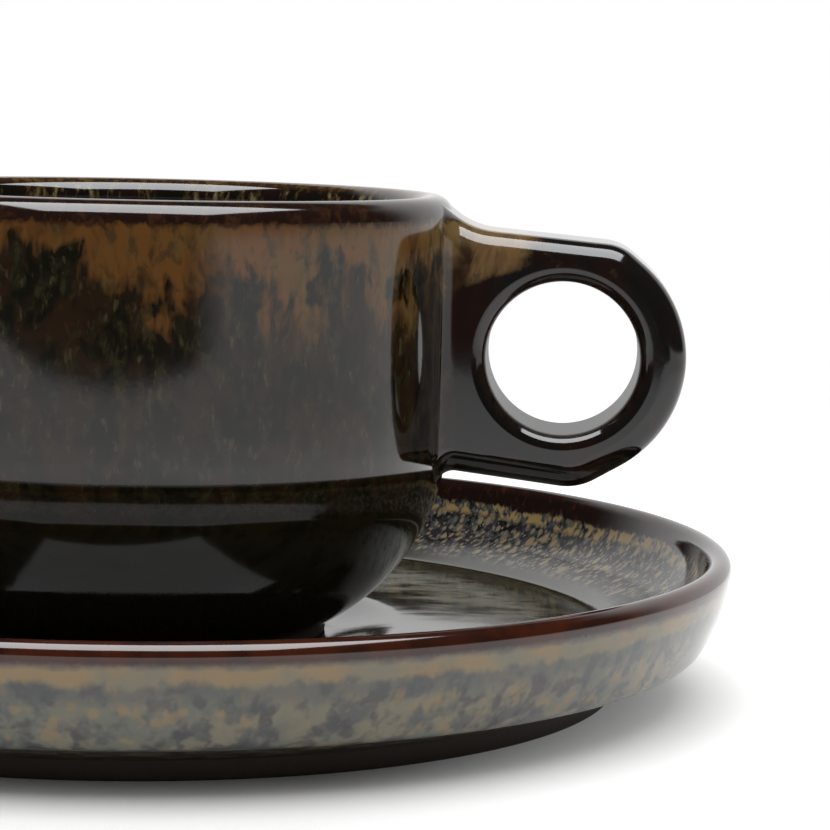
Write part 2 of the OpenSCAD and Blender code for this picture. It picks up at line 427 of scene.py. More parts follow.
class NodeBench:
    """The node tree of a material or a world under construction."""

    def __init__(self, owner: bpy.types.Material | bpy.types.World) -> None:
        """Clear the node tree of a material or a world.

        Args:
            owner: The material or world.
        """
        self.owner = owner
        owner.use_nodes = True
        self.tree = owner.node_tree
        self.tree.nodes.clear()

    def node(self, kind: str, settings: dict | None = None, inputs: dict | None = None) -> bpy.types.Node:
        """Add any node.

        Args:
            kind: The node's type.
            settings: Its properties, which are set first.
            inputs: Values or links of its sockets, by name or index.

        Returns:
            The node.
        """
        node = self.tree.nodes.new(kind)
        for key, value in (settings or {}).items():
            setattr(node, key, value)
        for key, value in (inputs or {}).items():
            if isinstance(value, Shade):
                value = value.socket
            if isinstance(value, bpy.types.NodeSocket):
                self.tree.links.new(value, node.inputs[key])
            else:
                colour = isinstance(value, tuple) and node.inputs[key].type == "RGBA"
                node.inputs[key].default_value = (*value, 1) if colour else value
        return node

    def shade(self, kind: str, settings: dict | None = None, inputs: dict | None = None, output: int = 0) -> Shade:
        """Add any node and return one of its outputs, wrapped for maths."""
        return Shade(self, self.node(kind, settings, inputs).outputs[output])

    def split(self, vector: object) -> list[Shade]:
        """Return the three values of a vector."""
        values = self.node("ShaderNodeSeparateXYZ", inputs={0: vector}).outputs
        return [Shade(self, value) for value in values]

    def looks(self) -> tuple[Shade, Shade]:
        """Tell how a surface or the world is looked at.

        Returns:
            1 for what the camera sees directly, and 1 for what it sees mirrored or through something.
        """
        rays = self.node("ShaderNodeLightPath").outputs
        direct, mirrored, through = (Shade(self, rays[f"Is {kind} Ray"]) for kind in RAY_KINDS)
        return direct, mirrored.at_least(through)

    def glow(self, strength: Operand, colour: Colour = WHITE) -> bpy.types.NodeSocket:
        """Return a shader that gives light."""
        return self.node("ShaderNodeEmission", inputs={"Color": colour, "Strength": strength}).outputs[0]

    def close(self, shader: bpy.types.NodeSocket, kind: str = "Material") -> bpy.types.Material | bpy.types.World:
        """Send a shader to the output of the material or world, and return that."""
        self.node(f"ShaderNodeOutput{kind}", inputs={"Surface": shader})
        return self.owner


class GlazeBench(NodeBench):
    """A material under construction, with the nodes that glazes are mixed from."""

    def __init__(self, name: str) -> None:
        """Start an empty material.

        Args:
            name: Its name.
        """
        super().__init__(bpy.data.materials.new(name))
        self.place = self.scaled(self.node("ShaderNodeTexCoord").outputs["Object"], PER_MM)
        self.x, self.y, self.z = self.split(self.place)
        self.radius = (self.x * self.x + self.y * self.y).root()

    def scaled(self, first: object, scale: float) -> Shade:
        """Return a vector times a number."""
        return self.shade("ShaderNodeVectorMath", {"operation": "SCALE"}, {0: first, "Scale": scale})

    def shifted(self, first: object, by: tuple[float, float, float]) -> Shade:
        """Return a vector moved by another."""
        return self.shade("ShaderNodeVectorMath", {"operation": "ADD"}, {0: first, 1: by})

    def combine(self, x: Operand, y: Operand, z: Operand) -> Shade:
        """Make a vector of three values."""
        return self.shade("ShaderNodeCombineXYZ", inputs={0: x, 1: y, 2: z})

    def noise(self, where: Shade, scale: float, detail: float = 3, rough: float = 0.55, warp: float = 0) -> Shade:
        """Return noise around a half, with its scale in features to a millimetre and its octaves in detail."""
        inputs = {"Vector": where, "Scale": scale, "Detail": detail, "Roughness": rough, "Distortion": warp}
        return self.shade("ShaderNodeTexNoise", {"normalize": True}, inputs)

    def specks(self, where: Shade, scale: float, size: float, soft: float = 0.12) -> tuple[Shade, Shade]:
        """Scatter specks, one to a cell, some large and some missing.

        Args:
            where: Vector that they are read at, in millimetres.
            scale: Cells to a millimetre.
            size: Radius of the largest, as a share of a cell.
            soft: Width of their edges, as a share of a cell.

        Returns:
            The specks' mask, and a random value for each.
        """
        cells = self.node("ShaderNodeTexVoronoi", {"feature": "F1"}, {"Vector": where, "Scale": scale})
        split = self.node("ShaderNodeSeparateColor", inputs={0: cells.outputs["Color"]})
        reach = Shade(self, split.outputs[0]) * size
        mask = (reach - Shade(self, cells.outputs["Distance"])).rise(0.0, soft)
        return mask, Shade(self, split.outputs[1])

    def mix(self, amount: Operand, first: object, second: object) -> Shade:
        """Mix a share of the second colour into the first."""
        return self.shade("ShaderNodeMix", {"data_type": "RGBA"},
                          {MIX_FACTOR: amount, MIX_FIRST: first, MIX_SECOND: second}, MIX_RESULT)

    def bump(self, height: Shade, depth: float, over: Shade | None = None) -> Shade:
        """Return the normal of a surface raised by a height of 0 to 1, of a depth in millimetres, over another."""
        inputs = {"Height": height, "Distance": depth * MM, "Strength": 1.0} | ({"Normal": over} if over else {})
        return self.shade("ShaderNodeBump", inputs=inputs)

    def finish(self, colour: Shade, rough: Operand, normal: Shade, ior: float = 1.5) -> bpy.types.Material:
        """Close the material with a base colour, a roughness, a bumped normal and a refractive index."""
        inputs = {"Base Color": colour, "Roughness": rough, "Normal": normal, "IOR": ior}
        return self.close(self.node("ShaderNodeBsdfPrincipled", inputs=inputs).outputs[0])


# ---- Glazes ----


@dataclass(frozen=True)
class Palette:
    """Colours of the fired glaze and clay, as linear light."""

    iron_edge: Colour = (0.058, 0.013, 0.005)
    rust: Colour = (0.045, 0.018, 0.007)
    maroon: Colour = (0.0155, 0.0058, 0.0039)
    ochre: Colour = (0.135, 0.055, 0.013)
    honey: Colour = (0.115, 0.066, 0.018)
    dun: Colour = (0.060, 0.036, 0.018)
    olive_black: Colour = (0.0062, 0.0054, 0.0026)
    bark: Colour = (0.024, 0.012, 0.0055)
    moss: Colour = (0.036, 0.031, 0.013)
    straw: Colour = (0.30, 0.25, 0.12)
    sand: Colour = (0.40, 0.235, 0.075)
    tan: Colour = (0.285, 0.195, 0.095)
    cream: Colour = (0.205, 0.180, 0.125)
    celadon: Colour = (0.145, 0.150, 0.120)
    slate: Colour = (0.075, 0.082, 0.086)
    plum: Colour = (0.026, 0.019, 0.023)
    mauve: Colour = (0.062, 0.056, 0.062)
    # Pale grey of the dish floor's patches, bright enough that it also serves as a painted sheen.
    ash_and_sheen: Colour = (0.29, 0.29, 0.245)
    soot: Colour = (0.0075, 0.0062, 0.0052)
    bare_clay: Colour = (0.030, 0.017, 0.011)


@dataclass(frozen=True)
class Glaze:
    """What the glazes share: their palette, their gloss and the ripple of their surface."""

    palette: Palette = Palette()
    gloss: float = 0.06
    ripple_mm: float = 0.008
    grain_mm: float = 0.0010
    ior: float = 1.54

    def surface(self, bench: GlazeBench, where: Shade) -> Shade:
        """Return the normal of glaze that has run a little and pitted finely."""
        slow = bench.bump(bench.noise(where, 0.22, 1), self.ripple_mm)
        return bench.bump(bench.noise(where, 2.2, 2), self.grain_mm, slow)


@dataclass(frozen=True)
class CupGlaze(Glaze):
    """Outside of the cup and its handle: ochre that has run down over olive black."""

    rim_z: float = CUP_RIM_Z
    edge_band: float = 2.3
    ochre_run: float = 8.8
    handle_from: float = 40.6
    ring_x: float = 45.65
    ring_z: float = 35.95
    hole_r: float = HOLE_R

    def make(self) -> bpy.types.Material:
        """Mix the finish.

        Returns:
            The finished material.
        """
        bench, tones = GlazeBench("cup_reactive_glaze"), self.palette
        drop = self.rim_z - bench.z
        soft = bench.combine(bench.x, bench.y, bench.z * 0.62)
        runs = bench.combine(bench.x, bench.y, bench.z * 0.28)
        broad = bench.noise(soft, 0.085, 2, 0.5, 0.3)
        blotch = bench.noise(soft, 0.24, 3, 0.6, 0.5)
        mottle = bench.noise(soft, 0.80, 3, 0.6, 0.4)
        streak = bench.noise(runs, 0.75, 3, 0.55, 0.2)
        fine = bench.noise(runs, 1.9, 2, 0.5)

        ground = bench.mix(blotch.rise(0.42, 0.60), tones.olive_black, tones.bark)
        ground = bench.mix((mottle * 0.6 + streak * 0.4).rise(0.49, 0.64) * 0.65, ground, tones.moss)
        flecks = fine.rise(0.54, 0.74) * mottle.rise(0.47, 0.62) * (0.13 - 0.09 * drop.rise(22.0, 34.0))
        ground = bench.mix(flecks, ground, tones.straw)
        low = drop.rise(25.0, 36.0)
        ground = bench.mix(low * 0.85, ground, tones.olive_black)

        by_handle = bench.x.rise(24.0, 32.0) * 4
        reach = self.ochre_run + by_handle + broad.swing(34) + blotch.swing(20) + streak.swing(9)
        ochre = drop.fall(reach - 1.6, reach + 2.2)
        ochre = ochre * (1 - blotch.rise(0.53, 0.68) * (0.35 + 0.6 * drop.rise(3.0, 6.5)))
        ochre = ochre * (1 - mottle.rise(0.54, 0.68) * 0.45)
        body = bench.mix(bench.noise(soft, 0.17, 2, 0.5, 0.3).rise(0.42, 0.60), tones.ochre, tones.honey)
        body = bench.mix(mottle.rise(0.50, 0.70) * 0.55, body, tones.dun)
        body = bench.mix(bench.x.rise(26.0, 37.0) * 0.42, body, tones.tan)
        colour = bench.mix(ochre * (0.72 + 0.24 * streak.rise(0.35, 0.55)), ground, body)
        band = self.edge_band + mottle.swing(2.2)
        lip = drop.fall(band - 0.25, band + 0.45)
        edge = bench.mix(mottle.rise(0.45, 0.68), tones.maroon, tones.rust)
        colour = bench.mix(lip, colour, edge)

        colour = bench.mix(self.out_along(bench, mottle), colour, self.ring(bench, drop))
        return bench.finish(colour, self.roughness(bench, ochre), self.surface(bench, soft), self.ior)

    def out_along(self, bench: GlazeBench, mottle: Shade) -> Shade:
        """Tell how far a place is out along the handle.

        Args:
            bench: The material's bench.
            mottle: Noise that frays the border.

        Returns:
            0 on the cup to 1 on the ring.
        """
        around = bench.noise(bench.place, 0.16, 3, 0.6, 0.4)
        start = self.handle_from + around.swing(4) + mottle.swing(3)
        return (bench.x + (self.rim_z - bench.z).rise(6.5, 10.0) * 8.6).rise(start, start + 2.6)

    def ring(self, bench: GlazeBench, drop: Shade) -> Shade:
        """Return the colour of the ring: near black, maroon by the root and rust where an edge thins it.

        Args:
            bench: The material's bench.
            drop: Depth below the cup's rim, in millimetres.

        Returns:
            The ring's colour.
        """
        tones = self.palette
        around = bench.noise(bench.place, 0.18, 3, 0.6, 0.5)
        small = bench.noise(bench.place, 0.9, 3, 0.6, 0.3)
        root = bench.x.fall(36.5, 40.5)
        colour = bench.mix((around.rise(0.46, 0.62) * 0.8).at_least(root * drop.fall(15.0, 19.0)),
                           tones.soot, tones.maroon)
        colour = bench.mix(small.rise(0.56, 0.72) * around.rise(0.50, 0.62) * 0.45, colour, tones.dun)
        from_hole = self.from_hole_axis(bench) + small.swing(0.3)
        thin = (from_hole - self.hole_r).fall(0.15, 1.3) * small.rise(0.40, 0.58)
        return bench.mix(thin * 0.35, colour, tones.rust)

    def from_hole_axis(self, bench: GlazeBench) -> Shade:
        """Return the distance from the axis of the finger hole, in millimetres."""
        across, up = bench.x - self.ring_x, bench.z - self.ring_z
        return (across * across + up * up).root()

    def roughness(self, bench: GlazeBench, ochre: Shade) -> Shade:
        """Return the roughness: a little more on the ochre, and more inside the finger hole."""
        inside = self.from_hole_axis(bench).fall(self.hole_r + 0.1, self.hole_r + 0.5)
        return self.gloss + 0.04 * ochre + 0.30 * inside


@dataclass(frozen=True)
class CupInsideGlaze(Glaze):
    """Inside of the cup: dark maroon with short pale runs under the lip."""

    rim_z: float = CUP_RIM_Z

    def make(self) -> bpy.types.Material:
        """Mix the finish.

        Returns:
            The finished material.
        """
        bench, tones = GlazeBench("cup_inside_glaze"), self.palette
        drop = self.rim_z - bench.z
        runs = bench.combine(bench.x, bench.y, bench.z * 0.30)
        streaks = bench.noise(runs, 0.95, 3, 0.6, 0.3)
        patches = bench.noise(runs, 0.22, 3)
        ground = bench.mix(patches.rise(0.42, 0.58), tones.maroon, tones.olive_black)
        band = drop.band(0.5, 1.4, 3.5, 12.0)
        colour = bench.mix(streaks.rise(0.48, 0.60) * band, ground, bench.mix(patches, tones.honey, tones.moss))
        colour = bench.mix(streaks.rise(0.56, 0.68) * band * 0.8, colour, tones.straw)
        lip = drop.fall(0.3, 0.9)
        edge = bench.mix(streaks.rise(0.45, 0.62), tones.rust, tones.honey)
        colour = bench.mix(lip, colour, edge)
        return bench.finish(colour, self.gloss + 0.02 * band, self.surface(bench, runs), self.ior)


@dataclass(frozen=True)
class DishGlaze(Glaze):
    """Inside of the saucer: maroon band, row of ochre blots, speckled slope, and a dark floor with pale ash patches,
    paler behind the cup as a painted sheen.
    """

    rim_z: float = SAUCER_RIM_Z
    side_r: float = 61.7
    unrolled_r: float = 58.0

    def make(self) -> bpy.types.Material:
        """Mix the finish.

        Returns:
            The finished material.
        """
        bench, tones = GlazeBench("saucer_dish_glaze"), self.palette
        down = (self.rim_z - bench.z) + (self.side_r - bench.radius).at_least(0.0)
        turn = self.unrolled_r / bench.radius.at_least(1.0)
        slope = bench.combine(bench.x * turn, bench.y * turn, down * 0.48)
        wander = bench.noise(slope, 0.16, 2, 0.5)
        fine = bench.noise(slope, 1.5, 3, 0.6)
        level = down + wander.swing(3) + fine.swing(1.6)

        colour = bench.mix(bench.noise(slope, 0.4, 3).rise(0.42, 0.60), tones.plum, tones.soot)
        colour = bench.mix(fine.rise(0.50, 0.66) * 0.5, colour, tones.slate)
        settled = 1 - down.rise(12.0, 17.0) * 0.5
        for scale, size, tone, halo in ((2.2, 0.52, tones.cream, 0.22), (1.5, 0.54, tones.cream, 0.22),
                                        (1.0, 0.50, tones.straw, 0.20), (0.72, 0.44, tones.straw, 0.16)):
            mask, chance = bench.specks(slope, scale, size + halo, 0.10)
            colour = bench.mix(mask * chance.rise(0.05, 0.20) * settled * 0.6, colour, tones.slate)
            mask, chance = bench.specks(slope, scale, size, 0.12)
            colour = bench.mix(mask * chance.rise(0.08, 0.25) * settled * 0.85, colour,
                               bench.mix(chance, tone, tones.tan))
        floor = down.rise(14.5, 17.5)
        turned = bench.combine(bench.x * 0.35, bench.y * 0.8, 0.0)
        olive = bench.noise(turned, 0.42, 4, 0.58, 0.2)
        reach = bench.radius + olive.swing(16)
        # Pale ash patches: their noise is the glaze's own, but their weighting towards the back, behind the cup, is a
        # painted sheen.
        spread = reach.band(30.0, 38.0, 44.0, 48.0) * (0.15 + 0.85 * bench.y.rise(-14.0, 10.0))
        olive = bench.mix(olive.rise(0.30, 0.60) * spread, bench.mix(0.5, tones.olive_black, tones.moss), tones.ash_and_sheen)
        colour = bench.mix(floor * 0.94, colour, olive)

        blots = bench.noise(slope, 0.85, 2, 0.5, 0.3)
        row = level.band(2.7, 3.3, 4.3, 5.6)
        colour = bench.mix(row * blots.rise(0.40, 0.48), colour, tones.slate)
        colour = bench.mix(row * blots.rise(0.46, 0.53), colour, bench.mix(fine, tones.sand, tones.straw))
        band = level.fall(2.6, 3.2)
        edge = bench.mix(fine.rise(0.52, 0.70), tones.maroon, tones.iron_edge)
        colour = bench.mix(band, colour, edge)
        satin = down.rise(4.0, 8.0) * (1 - floor) * 0.10 + (0.01 + 0.05 * spread) * floor
        return bench.finish(colour, self.gloss + satin, self.surface(bench, slope), self.ior)


@dataclass(frozen=True)
class SideGlaze(Glaze):
    """Outside of the saucer: an iron edge, a tan band and blue-grey mottling that darkens to the foot, partly glaze
    and partly painted shade on the underside.
    """

    rim_z: float = SAUCER_RIM_Z

    def make(self) -> bpy.types.Material:
        """Mix the finish.

        Returns:
            The finished material.
        """
        bench, tones = GlazeBench("saucer_side_glaze"), self.palette
        drop = self.rim_z - bench.z
        where = bench.combine(bench.x, bench.y, bench.z * 0.9)
        broad = bench.noise(where, 0.20, 2, 0.5, 0.1)
        blotch = bench.noise(where, 0.42, 2, 0.5, 0.1)
        other = bench.noise(bench.shifted(where, (31.0, 17.0, 5.0)), 0.50, 2, 0.5, 0.1)
        fine = bench.noise(where, 1.6, 3, 0.6)

        colour = bench.mix(broad.rise(0.40, 0.60), tones.celadon, tones.cream)
        colour = bench.mix(blotch.rise(0.47, 0.64) * 0.80, colour, tones.slate)
        colour = bench.mix(other.rise(0.50, 0.66) * 0.80, colour, tones.mauve)
        colour = bench.mix((1 - other).rise(0.56, 0.68) * 0.65, colour, tones.tan)
        colour = bench.mix(fine.rise(0.52, 0.72) * 0.30, colour, tones.cream)
        # Darker to near black towards the foot: partly the glaze, partly painted shade on the underside, which faces
        # the table.
        dark = (drop + blotch.swing(5) + other.swing(3)).rise(8.8, 13.4)
        colour = bench.mix(dark * 0.92, colour, tones.soot)
        level = drop + blotch.swing(1.8) + fine.swing(0.8)
        rim_shade = level.band(3.3, 4.1, 4.4, 6.4)
        colour = bench.mix(rim_shade * 0.55, colour, tones.slate)
        band = level.fall(3.2, 4.2)
        sandy = bench.mix(broad.rise(0.42, 0.62), tones.tan, tones.cream)
        colour = bench.mix(band * 0.92, colour, sandy)
        violet = (drop + blotch.swing(1.0)).fall(1.95, 2.6)
        colour = bench.mix(violet * 0.8, colour, tones.mauve)
        lip = (drop + fine.swing(0.4)).fall(1.65, 2.15)
        colour = bench.mix(lip, colour, bench.mix(broad.rise(0.38, 0.62) * 0.7, tones.iron_edge, tones.maroon))
        return bench.finish(colour, self.gloss + 0.08 * fine, self.surface(bench, where), self.ior)


@dataclass(frozen=True)
class BareClay:
    """Unglazed stoneware of the feet."""

    palette: Palette = Palette()

    def make(self) -> bpy.types.Material:
        """Mix the finish.

        Returns:
            The finished material.
        """
        bench = GlazeBench("bare_stoneware")
        grit = bench.noise(bench.place, 1.8, 4, 0.7)
        colour = bench.mix(grit.rise(0.35, 0.7), self.palette.bark, self.palette.bare_clay)
        return bench.finish(colour, 0.55 + 0.25 * grit, bench.bump(grit, 0.05))


# ---- Pieces ----


@dataclass
class CupBody:
    """The thrown body of the cup: foot ring, bowl, upright wall and rounded rim."""

    radius: float = 33.6
    rim_z: float = CUP_RIM_Z
    wall: float = 4.2
    bowl_r: float = 23.0
    bowl_z: float = 27.01
    floor_z: float = 10.6
    floor_curve_r: float = 10.0
    foot_r: float = 20.8
    foot_w: float = 3.2
    foot_z: float = 5.1
    foot_top_z: float = 6.4
    hollow_z: float = 6.4

    def section(self) -> Path2D:
        """Draw the half section, from the hollow under the foot round to the floor inside.

        Returns:
            The half section.
        """
        rim = Vector((self.radius - self.wall / 2, self.rim_z - self.wall / 2))
        bowl = Vector((self.radius - self.bowl_r, self.bowl_z))
        inner_bowl_r = self.bowl_r - self.wall
        curve = touching(Vector((0, self.floor_z)), Vector((1, 0)), Vector((0, self.floor_curve_r)),
                         bowl, inner_bowl_r - self.floor_curve_r)
        tangent = bearing(curve - bowl)
        path = Path2D().foot(self.foot_z, self.hollow_z, self.foot_top_z, self.foot_r, self.foot_w, steps=4)
        start = bearing(Vector((self.foot_r, self.foot_top_z)) - bowl)
        path.arc(bowl, self.bowl_r, start, 0, step=2.5)
        path.line(self.radius, rim.y, steps=8)
        path.arc(rim, self.wall / 2, 0, 180, step=7.5)
        path.line(self.radius - self.wall, self.bowl_z, steps=8)
        path.arc(bowl, inner_bowl_r, 0, tangent, step=3)
        path.arc(curve, self.floor_curve_r, tangent, -90, step=4)
        return path.line(0, self.floor_z, steps=6)

    def build(self) -> bpy.types.Object:
        """Build the body, which rides with the cup.

        Returns:
            The finished body.
        """
        body = throw("glazed_cup", self.section())
        crest = self.radius - self.wall / 2
        outside, inside, bare = range(3)

        def choose(centre: Vector, normal: Vector) -> int:
            """Pick the outside's, the inside's or the bare finish.

            Args:
                centre: The face's centre, in millimetres.
                normal: Its normal.

            Returns:
                The finish's number.
            """
            radius = math.hypot(centre.x, centre.y)
            if centre.z < self.foot_top_z + SLACK and radius < self.foot_r + SLACK:
                return bare
            inward = normal.x * centre.x + normal.y * centre.y < 0
            return inside if radius < crest and (inward or normal.z > 0) else outside

        dress(body, [CupGlaze().make(), CupInsideGlaze().make(), BareClay().make()], choose)
        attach(body, Body.CUP.value)
        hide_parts("cup_body")
        return body


@dataclass
class RingHandle:
    """The pierced ring handle, with its root drawn out along the wall and up to the rim."""

    cup: CupBody
    width: float = 14.0
    hole_r: float = HOLE_R
    neck: float = 4.0
    ring_w: float = 4.9
    top_w: float = 4.35
    under_w: float = 5.45
    top_drop: float = 3.0
    edge_r: float = 2.39
    hole_edge_r: float = 1.39
    shoulder_r: float = 5.0
    heel_r: float = 6.0
    top_sweep_r: float = 8.0
    side_fillet_r: float = 2.2
    under_fillet_r: float = 1.8
    top_slope: float = 4.8
    shoulder_slope: float = 40.0
    heel_slope: float = 30.0
    under_slope: float = 6.7
    blank_x: float = 22.0
    root_x: float = 30.6
    flat_strip: float = 0.2
    edge_steps: int = 8
    hole_steps: int = 120
    flare_steps: int = 9
    sweep_share: float = 0.54
    least_row: float = 0.09

    def __post_init__(self) -> None:
        """Work out the lines of the outline and the centres of its blends."""
        wall, out = self.cup.radius, self.neck + self.hole_r
        self.top = polar(1, -self.top_slope)
        self.under = polar(1, 180 - self.under_slope)
        self.top_p = Vector((wall, self.cup.rim_z - self.top_drop))
        fall = math.tan(math.radians(self.top_slope)) * out
        thick = (self.hole_r + self.top_w) / math.cos(math.radians(self.top_slope))
        self.ring = Vector((wall + out, self.top_p.y - fall - thick))
        fall = math.tan(math.radians(self.under_slope)) * out
        thick = (self.hole_r + self.under_w) / math.cos(math.radians(self.under_slope))
        self.under_p = Vector((wall, self.ring.y + fall - thick))
        self.rim_r = rim_r = self.cup.wall / 2
        self.rim = Vector((wall - rim_r, self.cup.rim_z - rim_r))
        self.bowl = Vector((wall - self.cup.bowl_r, self.cup.bowl_z))
        self.sweep = touching(self.top_p, self.top, left_of(self.top) * self.top_sweep_r, self.rim,
                              rim_r + self.top_sweep_r)
        self.tuck = touching(self.under_p, -self.under, left_of(self.under) * self.under_fillet_r,
                             self.bowl, self.cup.bowl_r + self.under_fillet_r)
        half = self.width / 2
        self.side = touching(Vector((0, half)), Vector((1, 0)), Vector((0, self.side_fillet_r)),
                             Vector((0, 0)), wall + self.side_fillet_r)
        self.side_end = self.side.x * wall / self.side.length

    def outline(self) -> Path2D:
        """Draw the outline, clockwise from inside the wall over the top and round to the root.

        Returns:
            The outline.
        """
        ring_r = self.hole_r + self.ring_w
        shoulder, heel = polar(1, -self.shoulder_slope), polar(1, 180 + self.heel_slope)
        shoulder_p = self.ring + left_of(shoulder) * ring_r
        heel_p = self.ring + left_of(heel) * ring_r
        path = Path2D().line(self.blank_x, self.line_z(self.top_p, self.top, self.blank_x))
        corner = meet(self.top_p, self.top, shoulder_p, shoulder)
        path.corner(corner, self.top, shoulder, self.shoulder_r)
        path.arc(self.ring, ring_r, bearing(left_of(shoulder)), bearing(left_of(heel)), step=3)
        path.corner(meet(heel_p, heel, self.under_p, self.under), heel, self.under, self.heel_r)
        return path.line(self.blank_x, self.line_z(self.under_p, self.under, self.blank_x))

    @staticmethod
    def line_z(start: Vector, along: Vector, x: float) -> float:
        """Return the height of a sloping line at a distance from the axis, in millimetres."""
        return start.y + along.y / along.x * (x - start.x)

    def sweep_up(self, at: Vector) -> float:
        """Tell how far a point of the top is drawn up towards the cup's rim.

        Args:
            at: The point, in millimetres.

        Returns:
            The distance, in millimetres.
        """
        touch = self.rim + (self.sweep - self.rim).normalized() * self.rim_r
        x = max(math.hypot(at.x, at.y), touch.x)
        start = self.sweep.x + self.top.y * self.top_sweep_r
        if x >= start or at.z < self.ring.y + self.hole_r / 2:
            return 0
        arc_z = self.sweep.y - math.sqrt(self.top_sweep_r**2 - (self.sweep.x - x)**2)
        return arc_z - self.line_z(self.top_p, self.top, x)

    def tuck_down(self, at: Vector) -> float:
        """Tell how far a point of the underside is drawn down along the cup's wall.

        Args:
            at: The point, in millimetres.

        Returns:
            The distance, in millimetres.
        """
        touch = self.bowl + (self.tuck - self.bowl).normalized() * self.cup.bowl_r
        x = max(math.hypot(at.x, at.y), touch.x)
        start = self.tuck.x + left_of(self.under).x * -self.under_fillet_r
        if x >= start or at.z > self.ring.y - self.hole_r / 2:
            return 0
        arc_z = self.tuck.y + math.sqrt(max(self.under_fillet_r**2 - (self.tuck.x - x)**2, 0))
        return self.line_z(self.under_p, self.under, x) - arc_z

    def spread(self, at: Vector) -> float:
        """Return how far a point is moved sideways where the root widens, in millimetres."""
        return abs(at.y) * (self.half_width(at.x) * 2 / self.width - 1)

    def half_width(self, x: float) -> float:
        """Tell half the handle's width.

        Args:
            x: Distance from the axis, in millimetres.

        Returns:
            The half width, in millimetres.
        """
        if x >= self.side.x:
            return self.width / 2
        reach = self.side.x - max(x, self.side_end)
        return self.side.y - math.sqrt(self.side_fillet_r**2 - reach**2)

    def blank(self) -> bpy.types.Object:
        """Make the handle as a flat slab with all its edges rounded but no hole.

        Returns:
            The slab, in edit mode.
        """
        flat = self.width / 2 - self.edge_r
        slab = trace("glazed_ring_handle", [place(point, -flat) for point in self.outline().points])
        last = len(slab.data.vertices) - 1
        select_parts(slab, "VERT", lambda mesh, index: index in (0, last))
        bpy.ops.mesh.edge_face_add()
        select_mesh()
        bpy.ops.mesh.edge_face_add()
        bpy.ops.mesh.extrude_region_move(TRANSFORM_OT_translate={"value": (0, 2 * flat * MM, 0)})
        select_mesh()
        bpy.ops.mesh.normals_make_consistent(inside=False)
        for side in (-1, 1):
            select_parts(slab, "FACE", lambda mesh, index: mesh.polygons[index].center.y * side > (flat - SLACK) * MM)
            turns = quarter_turns(self.edge_steps)
            for before, after in zip(turns, turns[1:]):
                bpy.ops.mesh.inset(thickness=(math.cos(before) - math.cos(after)) * self.edge_r * MM,
                                   depth=(math.sin(after) - math.sin(before)) * self.edge_r * MM,
                                   use_even_offset=True)
            bpy.ops.mesh.inset(thickness=self.flat_strip * MM, depth=0, use_even_offset=True)
            bpy.ops.mesh.delete(type="ONLY_FACE")
        return slab

    def spool(self) -> bpy.types.Object:
        """Make the wall of the finger hole with its two rounded edges.

        Returns:
            The wall, in object mode.
        """
        half, edge = self.width / 2, self.hole_edge_r
        flat_r = self.hole_r + edge + self.flat_strip
        section = Path2D().line(flat_r, -half)
        section.arc(Vector((self.hole_r + edge, edge - half)), edge, 270, 180, step=15)
        section.line(self.hole_r, half - edge, steps=4)
        section.arc(Vector((self.hole_r + edge, half - edge)), edge, 180, 90, step=15)
        section.line(flat_r, half)
        points = [Vector((self.ring.x + p.x, p.y, self.ring.y)) * MM for p in section.points]
        spool = trace("finger_hole", points)
        bpy.ops.mesh.spin(steps=self.hole_steps, angle=math.tau, center=place(self.ring), axis=(0, 1, 0))
        select_mesh()
        bpy.ops.mesh.remove_doubles(threshold=WELD)
        switch_to("OBJECT")
        return spool

    def pierce(self, slab: bpy.types.Object) -> bpy.types.Object:
        """Join the finger hole to the slab and close its two side faces between them.

        Args:
            slab: The slab, in edit mode, with its side faces open.

        Returns:
            The pierced slab, in edit mode.
        """
        switch_to("OBJECT")
        spool = self.spool()
        select_none()
        spool.select_set(True)
        slab.select_set(True)
        bpy.context.view_layer.objects.active = slab
        bpy.ops.object.join()
        uses = Counter(key for face in slab.data.polygons for key in face.edge_keys)
        switch_to("EDIT")
        for side in (-1, 1):
            level = side * self.width / 2 * MM

            def at_side(mesh: bpy.types.Mesh, index: int) -> bool:
                """Tell whether an edge borders the open side face."""
                edge = mesh.edges[index]
                return uses[edge.key] == 1 and all(abs(mesh.vertices[i].co.y - level) < WELD for i in edge.vertices)

            select_parts(slab, "EDGE", at_side)
            bpy.ops.mesh.fill(use_beauty=True)
        return slab

    def rows(self) -> list[float]:
        """Choose where the root gets rows of vertices.

        Returns:
            Distances from the axis, in millimetres.
        """
        turns = quarter_turns(self.flare_steps)
        span = self.side.x - self.side_end
        rows = [self.side_end + span * (1 - math.cos(turn)) for turn in turns]
        rows += [self.tuck.x - self.under_fillet_r * math.sin(turn) for turn in turns]
        rows += [self.sweep.x - self.top_sweep_r * math.sin(turn * self.sweep_share) for turn in turns]
        kept = [self.root_x]
        for row in sorted(rows):
            if row > kept[-1] + self.least_row:
                kept.append(row)
        return kept[1:]

    def pull(self, handle: bpy.types.Object, axis: str, sign: int, amount: Callable[[Vector], float]) -> None:
        """Move some of the handle's vertices along an axis, each by its own amount.

        Args:
            handle: The handle, in object mode.
            axis: "Y" or "Z".
            sign: Way that they move, 1 or -1.
            amount: Gives a vertex's distance from its place, both in millimetres.
        """
        moves = [max(amount(vertex.co * PER_MM), 0.0) for vertex in handle.data.vertices]
        group = handle.vertex_groups.new(name="pull")
        most = max(moves)
        for index, move in enumerate(moves):
            if move > 0:
                group.add([index], move / most, "REPLACE")
        shift = handle.modifiers.new("pull", "DISPLACE")
        shift.direction, shift.strength, shift.mid_level = axis, sign * most * MM, 0
        shift.vertex_group = group.name
        activate(handle)
        bpy.ops.object.modifier_apply(modifier=shift.name)
        handle.vertex_groups.clear()

